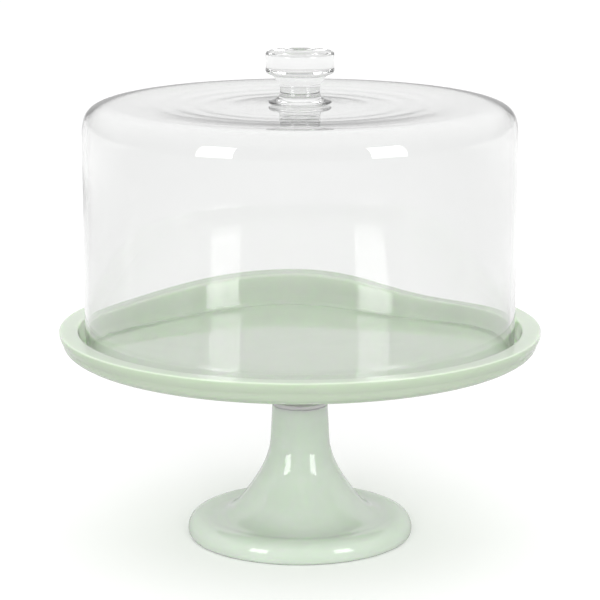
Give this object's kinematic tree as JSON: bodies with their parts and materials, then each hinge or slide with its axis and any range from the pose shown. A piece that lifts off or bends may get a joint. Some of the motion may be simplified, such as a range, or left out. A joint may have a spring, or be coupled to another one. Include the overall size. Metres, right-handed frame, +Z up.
{
  "type": "cake stand with glass dome",
  "caption": "Milky green glass pedestal cake plate with a raised rim, and a clear straight-sided glass dome with a solid knob that lifts off.",
  "frame": {"origin": "on the stand's axis, on the surface that the foot rests on", "axes": "+Z up along the turning axis of the stand, dome and knob; +X and +Y are equivalent"},
  "size_m": [0.3, 0.3, 0.3065],
  "materials": {
    "pedestal_glass": "milky green pressed glass, fire-polished gloss",
    "wafer_glass": "milky green glass, fire-polished gloss",
    "plate_glass": "milky green pressed glass, fire-polished gloss",
    "dome_glass": "clear blown glass, slightly wavy",
    "bond_glass": "clear bond line",
    "knob_glass": "solid clear glass, polished"
  },
  "bodies": {
    "stand": {"pedestal": "pedestal_glass", "joining_wafer": "wafer_glass", "plate": "plate_glass"},
    "dome": {"dome_shell": "dome_glass", "knob_bond": "bond_glass", "knob": "knob_glass"}
  },
  "joints": [
    {"name": "dome_lift", "type": "slide", "parent": "stand", "child": "dome", "axis": [0, 0, 1], "range_m": [0, 0.2]}
  ]
}
